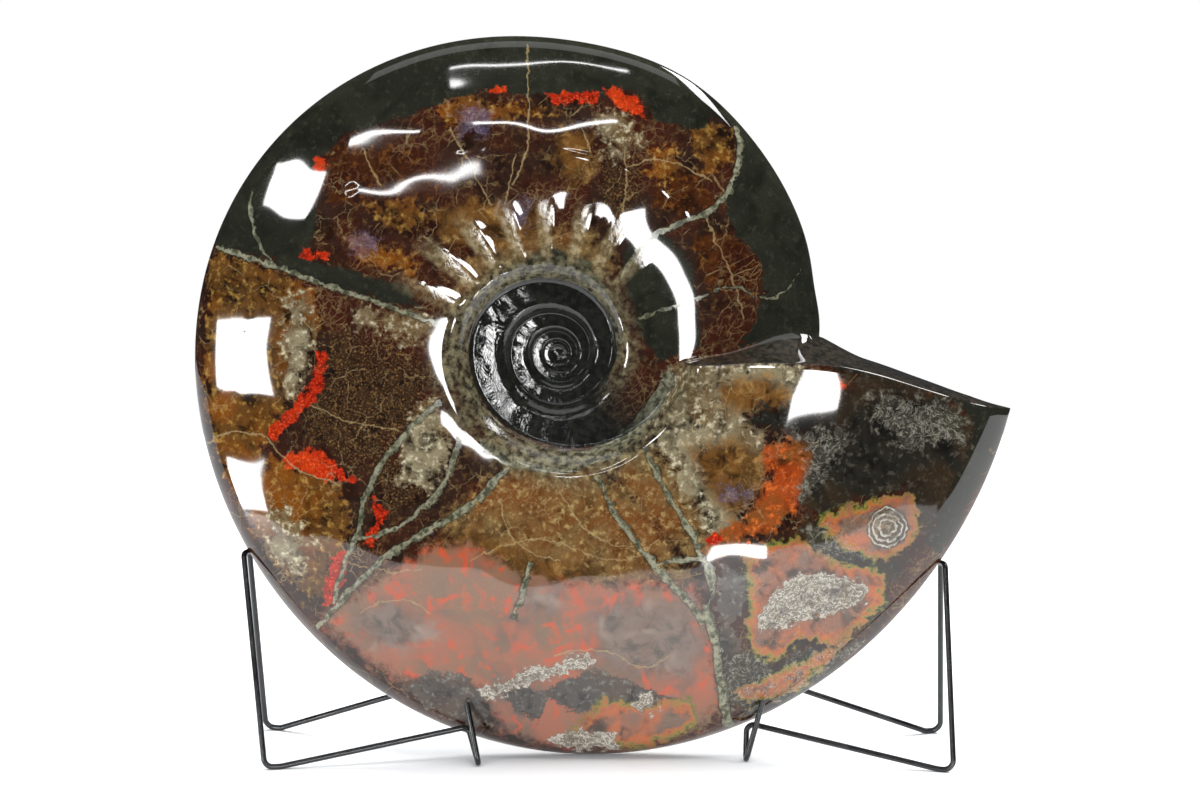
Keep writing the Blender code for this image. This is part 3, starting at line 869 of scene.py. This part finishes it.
# Finish of each kind of patch: dark, usual and light colour and tint, the clouds of the dark and
# of the light, softness of its edge in mm, and how ragged the edge is
FINISHES = {
    "chocolate": ("#1a0f0a", "#322119", "#604427", "#421c10", 9, 4, 0.0, 0.0),
    "russet": ("#1f0e08", "#45240f", "#75481e", "#33130b", 9, 4, 2.5, 1.0),
    "tan": ("#3c2814", "#755c38", "#a9915c", "#70401a", 9, 4, 5.0, 1.0),
    "speckled": ("#1c130d", "#3a281a", "#806038", "#341812", 4, 1, 1.5, 0.9),
    "amber": ("#24160a", "#5e3e1c", "#aa8440", "#80460f", 9, 4, 2.0, 1.2),
    "beige": ("#2c261b", "#8a7f64", "#dcd2b2", "#5a4020", 9, 4, 4.0, 1.6),
    "honey": ("#35220f", "#6e4a22", "#a8824a", "#4c3418", 11, 9, 5.0, 1.2),
    "ember": ("#33200f", "#7c4a22", "#e0702c", "#a83c10", 9, 4, 2.5, 1.3),
    "salmon": ("#70594d", "#985f4a", "#be5233", "#7e6450", 18, 11, 5.0, 0.9),
    "haze": ("#544c44", "#78675e", "#948072", "#6e5648", 9, 18, 6.0, 0.9),
    "grey": ("#242320", "#4a4642", "#7c7870", "#5c4a3e", 9, 4, 0.8, 0.8),
    "black": ("#1c1d16", "#2a2b22", "#35362b", "#22231c", 18, 4, 0.9, 0.8),
    "mouth black": ("#12110e", "#25231d", "#4a463e", "#3a2c1c", 9, 4, 1.5, 1.3),
    "sutured": ("#1a1814", "#3a3730", "#7a7468", "#3c382c", 9, 4, 3.5, 1.3),
    "banded": ("#42342c", "#885e4b", "#b0623c", "#6e5f54", 11, 18, 1.0, 0.9),
    "eye": ("#2c2a26", "#4a4640", "#8a857a", "#5a4a3c", 9, 4, 0.8, 0.3),
    "lace": ("#4c4640", "#7c7468", "#b4aea0", "#6a5c4c", 9, 4, 1.0, 0.9),
    "sheen": ("#3c3850", "#5c547c", "#8c84a8", "#4a5060", 4, 1, 4.0, 1.4),
    "red": ("#5a0e05", "#a62410", "#ee5428", "#c8400f", 4, 1, 0.7, 0.6),
}
RING_SPACING = 2.8              # millimetres from ring to ring in an eye and in lace
# Bands along the edge of a banded patch: millimetres inwards to where a band is full and where
# it is gone, and its colour
BANDS = ((3.0, 7.0, "#b86030"), (1.8, 4.0, "#84783a"), (0.3, 2.0, "#4a622c"))


def rings(value, full, gone, strength):
    """Sum for a thin line wherever a value passes a whole number and a half."""
    return (EASE, (SIZE, (MINUS, (FRACTION, value), 0.5)), full, gone, strength, 0.0)


patch_rows = []
for name, (dark, usual, light, tint, dark_mm, light_mm, soft, rag) in FINISHES.items():
    patch_rows += [
        ("patch", MIX, (EASE, f"cloud {dark_mm}", 0.32, 0.58, 0.0, 1.0), linear(dark), linear(usual)),
        ("patch", MIX, (EASE, "cloud 40", 0.42, 0.62, 0.0, 0.75), "patch", linear(tint)),
        ("patch", MIX, (EASE, f"cloud {light_mm}", 0.50, 0.76, 0.0, 1.0), "patch", linear(light)),
    ]
    if name == "chocolate":
        patch_rows.append(("colour", MIX, 1.0, "patch", "patch"))
        continue
    patch_rows += [
        (name + " edge", TIMES_PLUS, "ragged", rag, name),
        (name + " mask", EASE, name + " edge", -soft, soft, 0.0, 1.0),
    ]
    if name == "banded":
        for full, gone, shade in BANDS:
            patch_rows += [
                ("band", EASE, "banded edge", full, gone, 1.0, 0.0),
                ("band", TIMES, "band", (EASE, "cloud 26", 0.36, 0.56, 0.25, 0.85)),
                ("patch", MIX, "band", "patch", linear(shade)),
            ]
    if name in ("eye", "lace"):
        patch_rows += [
            ("ring", *rings((OVER, name + " edge", RING_SPACING), 0.06, 0.24, 0.8)),
            ("ring", TIMES, "ring", (EASE, "cloud 9", 0.36, 0.56, 0.2, 1.0)),
            ("patch", MIX, "ring", "patch", linear("#d0cabc")),
        ]
    if name == "sheen":
        patch_rows.append(("sheen mask", TIMES, "sheen mask", 0.5))
    patch_rows.append(("colour", MIX, name + " mask", "colour", "patch"))
work_through(fossil, CLOUD_ROWS + patch_rows, parts)

# %% [markdown]
# Veins of grey calcite and thin cracks go over the clouds. A vein is a curve over its own
# straight chord: the material measures how far a point lies from it, so it stays sharp however
# close the camera comes. The finest cracks are a net of cells, which fades in and out.

# %% Polished fossil shell: cracks and veins
drawn = add(fossil, "ShaderNodeAttribute", attribute_name="drawing").outputs["Vector"]
WOBBLE = 7.0                    # millimetres, both the length and the height of the wobble
wobble = add(fossil, "ShaderNodeTexNoise", parts["place"], 1.0 / (WOBBLE * MM), 4.0, 0.65)
wobble = wobble.outputs["Color"]
wobble = add(fossil, "ShaderNodeVectorMath", wobble, (0.5, 0.5, 0.5), operation="SUBTRACT")
wobble = add(fossil, "ShaderNodeVectorMath", wobble, operation="SCALE")
wobble.inputs["Scale"].default_value = WOBBLE
drawn = add(fossil, "ShaderNodeVectorMath", drawn, wobble, operation="ADD")

VEINS = (       # width in mm at the start and at the end, and points in pixels
    (2.6, 2.0, "216,247 262,262 300,275 340,290 400,310 440,325"),
    (1.0, 1.0, "251,190 254,232 274,266"),
    (3.4, 3.0, "510,465 470,505 430,530 395,550 345,597 318,628"),
    (3.0, 2.0, "458,438 440,490 410,518 378,535 358,538"),
    (3.0, 2.2, "440,402 402,438 378,470 364,500 358,530 345,562 334,604"),
    (2.4, 2.2, "530,562 524,590 514,617"),
    (2.6, 3.0, "645,448 665,490 690,530 702,555 712,590"),
    (2.0, 3.6, "595,475 620,520 650,560 680,592 705,625"),
    (4.0, 5.0, "705,605 714,640 722,690 728,726"),
    (3.0, 3.0, "655,565 680,560 705,562 714,580 710,605"),
    (3.4, 2.6, "737,128 737,172 716,206 682,222 650,240 620,280"),
    (9.0, 9.0, "480,445 520,462 570,462 615,445 650,412 672,372"),
    (1.0, 1.0, "640,318 690,300 735,287 768,298 800,272"),
)
CRACKS = (
    (0.7, 0.7, "527,45 528,100 526,150 514,185"),
    (0.5, 0.5, "514,155 510,185 505,205"),
    (0.5, 0.5, "363,148 380,187"),
    (0.5, 0.4, "450,128 470,165 492,205"),
    (0.5, 0.5, "580,125 592,152"),
    (0.6, 0.6, "628,168 660,160 700,175 712,182"),
    (0.5, 0.5, "625,150 625,200 618,240"),
    (0.5, 0.5, "705,215 720,250 735,285 742,320"),
    (0.9, 0.7, "208,443 225,434 250,434 268,440"),
    (0.5, 0.5, "312,404 345,420 400,430"),
    (0.7, 0.7, "268,440 300,470 340,484"),
    (0.5, 0.5, "555,655 610,652 640,668 670,655"),
    (0.4, 0.4, "360,612 400,600 430,612"),
    (0.4, 0.4, "345,560 395,572 420,570"),
    (0.5, 0.5, "500,500 520,545 560,560"),
    (0.5, 0.5, "560,490 600,540 640,545"),
    (0.5, 0.5, "470,560 540,540 620,560 660,540"),
)


def off_line(line, from_width, to_width):
    """Millimetres outside a drawn line, negative on it."""
    place = drawing_place(pixel_points(line))
    chord = place[-1] - place[0]
    length = float(np.linalg.norm(chord))
    along, across = chord / length, np.array([-chord[1], chord[0]]) / length
    slope = math.atan2(chord[1], chord[0])
    local = add(fossil, "ShaderNodeMapping", drawn, (*place[0], 0.0), (0.0, 0.0, slope),
                (length, length, 1.0), vector_type="TEXTURE")
    local = add(fossil, "ShaderNodeSeparateXYZ", local)
    course = add(fossil, "ShaderNodeFloatCurve", 1.0, local.outputs[0])
    curve = course.mapping.curves[0]
    stops = [((p - place[0]) @ along / length, 0.5 + (p - place[0]) @ across / length) for p in place]
    curve.points[0].location, curve.points[-1].location = stops[0], stops[-1]
    for stop in stops[1:-1]:
        curve.points.new(*stop)
    course.mapping.update()
    off = {"along": local.outputs[0], "across": local.outputs[1], "course": course}
    work_through(fossil, [
        ("miss", TIMES, (SIZE, (MINUS, (PLUS, "across", 0.5), "course")), length),
        ("half width", LINE, "along", 0.0, 1.0, from_width / 2, to_width / 2),
        ("miss", MINUS, "miss", "half width"),
        ("past", TIMES, (MINUS, (SIZE, (MINUS, "along", 0.5)), 0.5), length),
        ("off", LARGER, "miss", "past"),
    ], off)
    return off["off"]


for kind, lines in (("vein", VEINS), ("crack", CRACKS)):
    parts[kind] = 100.0
    for from_width, to_width, line in lines:
        parts["line"] = off_line(line, from_width, to_width)
        work_through(fossil, [(kind, SMALLER, kind, "line")], parts)
    print(kind + "s:", len(lines))

LINE_ROWS = [
    ("cell place", SHIFTED, "place", (TIMES, "cloud 9", 0.012)),
    ("net", EASE, (EDGE_CELLS, "cell place", 1 / (15 * MM)), 0.004, 0.024, 1.0, 0.0),
    ("net", TIMES, "net", (EASE, "cloud 26", 0.43, 0.64, 0.0, 0.55)),
    ("fine net", EASE, (EDGE_CELLS, "cell place", 1 / (5.5 * MM)), 0.01, 0.06, 1.0, 0.0),
    ("fine net", TIMES, "fine net", (EASE, "cloud 40", 0.50, 0.68, 0.0, 0.4)),
    ("net", LARGER, "net", "fine net"),
    ("bare", LARGER, (LARGER, "black mask", "mouth black mask"), "grey mask"),
    ("bare", MINUS, 1.0, (LARGER, "bare", (TIMES, "salmon mask", 0.75))),
    ("net", TIMES, "net", "bare"),
    ("net", LARGER, "net", (EASE, "crack", -0.1, 0.4, 0.65, 0.0)),
    ("colour", MIX, "net", "colour", (MIX, "cloud 4", linear("#8a6a38"), linear("#b8a880"))),
    ("frill", TIMES, (NOISE, "place", 1 / (8 * MM), 3.0, 0.65, None, 2.0), 3.0),
    ("frill", TIMES, rings("frill", 0.03, 0.10, 0.6), "sutured mask"),
    ("frill", TIMES, (TIMES, "frill", "cloud 9"), 1.6),
    ("colour", MIX, "frill", "colour", linear("#a8a292")),
    ("vein", TIMES_PLUS, "cloud 9", 4.0, (TIMES_PLUS, "cloud 4", 5.0, "vein")),
    ("dark rim", EASE, "vein", 4.9, 5.8, 0.6, 0.0),
    ("colour", MIX, "dark rim", "colour", linear("#1c1e18")),
    ("vein", EASE, "vein", 4.3, 4.9, 1.0, 0.0),
    ("vein colour", MIX, (EASE, "cloud 4", 0.36, 0.62, 0.0, 1.0), linear("#424331"), linear("#929078")),
    ("colour", MIX, "vein", "colour", "vein colour"),
]
work_through(fossil, LINE_ROWS, parts)

# %% [markdown]
# In the middle of the coil the shell is another thing. The older turns are nearly black, the wall
# that goes down to them is a mottled grey olive, and the crests of the ribs are painted paler beige,
# partly as worn shell and partly as a painted highlight along each crest.
# The polished end shows the dark stone that filled the shell. The wheel skips over the crests of the
# ribs and doesn't get down into the middle, so the surface stays knobbly there and breaks up the
# reflections.

# %% Polished fossil shell: middle of the coil, end face and shader
MIDDLE_ROWS = [
    ("mottle", EASE, "cloud 4", 0.36, 0.66, 0.0, 1.0),
    ("wall here", EASE, "share", 0.27, 0.36, 1.0, 0.0),
    ("wall here", TIMES, "wall here", (EASE, "cloud 26", 0.36, 0.58, 0.45, 0.95)),
    ("colour", MIX, "wall here", "colour", (MIX, "mottle", linear("#2e2b20"), linear("#857e62"))),
    ("crest", EASE, rib_wave(RIB_SPACING), -0.2, 0.8, 0.0, 0.7),
    *stretch("on ribs", "share", 0.27, 0.33, 0.40, 0.52, 1.0),
    ("crest", TIMES, "crest", "on ribs"),
    *stretch("on ribs", "angle", 30 * DEGREE, 60 * DEGREE, 140 * DEGREE, 170 * DEGREE, 1.0),
    ("crest", TIMES, "crest", "on ribs"),
    # The crests of the ribs are painted paler: partly beige wear, partly a painted highlight along each
    # crest
    ("colour", MIX, "crest", "colour", (MIX, "mottle", linear("#6e5c3c"), linear("#b0a07c"))),
    ("older", EASE, "angle", OLDER_END - 0.9, OLDER_END + 0.05, 1.0, 0.0),
    ("colour", MIX, "older", "colour", (MIX, "mottle", linear("#171715"), linear("#272722"))),
    ("colour", MIX, "mouth", "colour", (MIX, "mottle", linear("#201e1b"), linear("#3c362d"))),
    ("grain", LINE, "salmon mask", 0.0, 1.0, (LINE, "cloud 1", 0.3, 0.7, 0.66, 0.90), 0.80),
    ("colour", SHADE, 1.0, "colour", "grain"),
    ("roughness", LINE, (LARGER, "vein", "frill"), 0.0, 1.0, 0.045, 0.15),
    ("roughness", LARGER, "roughness", (TIMES, (TIMES, "crest", "mottle"), 0.35)),
    ("relief", LARGER, (EASE, "share", 0.24, 0.29, 0.7, 0.0), "crest"),
    ("relief", TIMES, (LARGER, "relief", (TIMES, "older", 0.5)), "cloud 9"),
]
CALCITE_IOR = 1.58
KNOB_HEIGHT = 0.6 * MM
work_through(fossil, MIDDLE_ROWS, parts)
polished = add(fossil, "ShaderNodeBsdfPrincipled", parts["colour"], None, parts["roughness"])
polished.inputs["IOR"].default_value = CALCITE_IOR
relief = add(fossil, "ShaderNodeBump", 1.0, KNOB_HEIGHT)
fossil.links.new(parts["relief"].outputs[0], relief.inputs["Height"])
fossil.links.new(relief.outputs[0], polished.inputs["Normal"])
add(fossil, "ShaderNodeOutputMaterial", polished)
print("fossil material:", len(fossil.nodes), "nodes")

# %% [markdown]
# The wires are mild steel, dipped or sprayed with a glossy black enamel. The enamel is thicker in
# some places than in others, which shows as a slow change of gloss, and dust in it and small rubs
# show as paler specks. Its skin is slightly uneven, so the lamps' glints along the wire are broken.

# %% Black painted steel wire
wire_material.use_nodes = True
enamel = wire_material.node_tree
enamel.nodes.clear()
coat = {"place": add(enamel, "ShaderNodeTexCoord").outputs["Object"]}
work_through(enamel, [
    ("specks", NOISE, "place", 1 / (0.9 * MM), 3.0, 0.6),
    ("runs", NOISE, "place", 1 / (14 * MM), 3.0, 0.55),
    ("colour", MIX, (EASE, "runs", 0.35, 0.65, 0.0, 1.0), linear("#08080a"), linear("#1b1c1e")),
    ("colour", MIX, (EASE, "specks", 0.60, 0.75, 0.0, 0.5), "colour", linear("#3c3d3f")),
    ("roughness", LINE, "runs", 0.3, 0.7, 0.14, 0.32),
], coat)
SPECK_HEIGHT = 0.1 * MM
skin_relief = add(enamel, "ShaderNodeBump", 0.25, SPECK_HEIGHT)
enamel.links.new(coat["specks"].outputs[0], skin_relief.inputs["Height"])
enamelled = add(enamel, "ShaderNodeBsdfPrincipled", coat["colour"], None, coat["roughness"])
enamel.links.new(skin_relief.outputs[0], enamelled.inputs["Normal"])
add(enamel, "ShaderNodeOutputMaterial", enamelled)
print("enamel:", len(enamel.nodes), "nodes")

# %% [markdown]
# The shell stands on a table of white laminate, which is pressed flat and left slightly matt, so
# it gives the eye a soft shadow. It ends 30 cm in front of the shell, as its reflection in the
# lower flank shows. Behind everything the room is white, and what the polish mirrors of it is dim.

# %% Table and room
TABLE_FRONT, TABLE_BACK, TABLE_SIDE = -0.30, 0.9, 1.3
floor_mesh = bpy.data.meshes.new("floor")
floor_mesh.from_pydata([
    (-TABLE_SIDE, TABLE_FRONT, 0), (TABLE_SIDE, TABLE_FRONT, 0),
    (TABLE_SIDE, TABLE_BACK, 0), (-TABLE_SIDE, TABLE_BACK, 0),
], [], [(0, 1, 2, 3)])
floor = new_object("floor", floor_mesh)
floor_material = bpy.data.materials.new("white_laminate_table")
floor_material.use_nodes = True
laminate = floor_material.node_tree.nodes["Principled BSDF"]
laminate.inputs["Base Color"].default_value = linear("#f4f5f6")
laminate.inputs["Roughness"].default_value = 0.6
floor_mesh.materials.append(floor_material)
floor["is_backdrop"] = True

world = bpy.data.worlds.new("studio")
world.use_nodes = True
bpy.context.scene.world = world
room = world.node_tree
room.nodes.clear()
seen = add(room, "ShaderNodeLightPath").outputs["Is Camera Ray"]
scattered = add(room, "ShaderNodeLightPath").outputs["Is Diffuse Ray"]
tone = add(room, "ShaderNodeMix", scattered, linear("#2c3036"), linear("#9a9ea2"), data_type="RGBA")
tone = add(room, "ShaderNodeMix", seen, tone, linear("#ffffff"), data_type="RGBA")
add(room, "ShaderNodeOutputWorld", add(room, "ShaderNodeBackground", tone, 1.0))
print("room:", len(room.nodes), "nodes; table", 2 * TABLE_SIDE, "m wide")

# %% [markdown]
# A polished thing is seen by what it mirrors. Three wide softboxes give the plain light, and the
# two brightest don't show in the polish. The windows and tubes that do show are placed by their
# reflections: a ray from the camera through that pixel bounces off the shell to the lamp.

# %% Lamps
shell_tree = BVHTree.FromPolygons(
    [vertex.co for vertex in shell_mesh.vertices],
    [polygon.vertices for polygon in shell_mesh.polygons],
)


def lamp(name, place, aim, width, height, radiance, mirrored=True):
    """Area lamp of a size in metres and a brightness, where white paper in full light is about 1."""
    data = bpy.data.lights.new(name, "AREA")
    data.shape, data.size, data.size_y = "RECTANGLE", width, height
    data.energy = radiance * math.pi * width * height
    made = new_object(name, data)
    made.location = place
    made.rotation_euler = (Vector(place) - Vector(aim)).to_track_quat("Z", "Y").to_euler()
    made.visible_camera, made.visible_glossy = False, mirrored


def mirrored_lamp(name, pixel, away, width, height, radiance):
    """Lamp whose reflection shows at a pixel of the photograph."""
    aside, up = drawing_place(pixel) * MM / CAMERA_AWAY
    ray = camera.rotation_euler.to_matrix() @ Vector((aside, up, -1.0)).normalized()
    hit, normal, _, _ = shell_tree.ray_cast(camera.location, ray)
    bounced = ray.reflect(normal)
    lamp(name, hit + bounced * away, hit, width, height, radiance)
    print(name, "stands at", [round(c, 2) for c in hit + bounced * away])


lamp("overhead softbox", (0.0, -0.15, 1.9), (0.0, 0.05, 0.0), 2.2, 1.2, 3.2, mirrored=False)
lamp("ceiling", (0.0, -0.15, 2.2), (0.0, 0.05, 0.0), 2.4, 1.4, 1.2)
lamp("back softbox", (0.0, 1.2, 1.7), (0.0, 0.4, 0.0), 2.6, 1.0, 5.0, mirrored=False)
MIRRORED_LAMPS = {      # pixel of the reflection, metres away, width, height and brightness
    "window left high": ((292, 197), 2.0, 0.20, 0.25, 26.0),
    "window left middle": ((243, 352), 1.6, 0.24, 0.26, 26.0),
    "window left low": ((243, 485), 0.42, 0.05, 0.07, 26.0),
    "strip right": ((672, 275), 2.2, 0.24, 0.75, 26.0),
    "panel shoulder": ((466, 440), 2.2, 0.13, 0.26, 24.0),
    "tube low": ((400, 188), 2.5, 0.9, 0.022, 30.0),
    "tube middle left": ((372, 134), 2.5, 0.45, 0.03, 30.0),
    "tube middle right": ((520, 123), 2.5, 0.7, 0.03, 30.0),
    "tube high": ((530, 62), 2.5, 1.0, 0.018, 30.0),
    "panel mouth": ((817, 386), 0.9, 0.11, 0.07, 26.0),
    "panel low": ((738, 550), 0.26, 0.07, 0.012, 26.0),
    "skylight": ((700, 94), 2.0, 1.8, 0.40, 16.0),
}
for name, (pixel, away, width, height, radiance) in MIRRORED_LAMPS.items():
    mirrored_lamp(name, pixel, away, width, height, radiance)
bpy.context.scene.view_settings.view_transform = "Standard"

# %% Sizes, and the end
low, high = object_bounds()
print("visual box in mm:", [round(v / MM, 1) for v in (*low, *high)])
